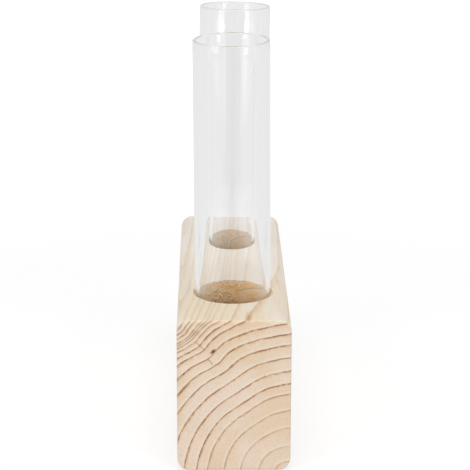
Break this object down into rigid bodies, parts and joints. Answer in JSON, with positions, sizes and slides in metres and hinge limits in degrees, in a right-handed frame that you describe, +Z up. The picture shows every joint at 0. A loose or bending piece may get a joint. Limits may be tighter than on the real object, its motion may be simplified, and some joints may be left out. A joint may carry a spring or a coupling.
{
  "type": "test tube vase",
  "caption": "Long wooden block with holes drilled in a row, each holding a loose round-bottomed glass test tube that serves as a bud vase.",
  "frame": {"origin": "centre of the block's underside, in the plane that the vase stands on", "axes": "+Z up; +Y along the block, from the front end to the rear end; +X to the right, seen from the front"},
  "size_m": [0.044, 0.148, 0.1636],
  "materials": {
    "wood": "planed and sanded, unvarnished",
    "glass": "clear, fire-polished rim"
  },
  "bodies": {
    "block": {"wood_block": "wood"},
    "front_tube": {"front_test_tube": "glass"},
    "rear_tube": {"rear_test_tube": "glass"}
  },
  "joints": [
    {"name": "front_tube_lift", "type": "slide", "parent": "block", "child": "front_tube", "axis": [-0.0075, -0.0111, 0.9999], "range_m": [0, 0.06]},
    {"name": "rear_tube_lift", "type": "slide", "parent": "block", "child": "rear_tube", "axis": [0.0142, 0.036, 0.9993], "range_m": [0, 0.06]}
  ]
}
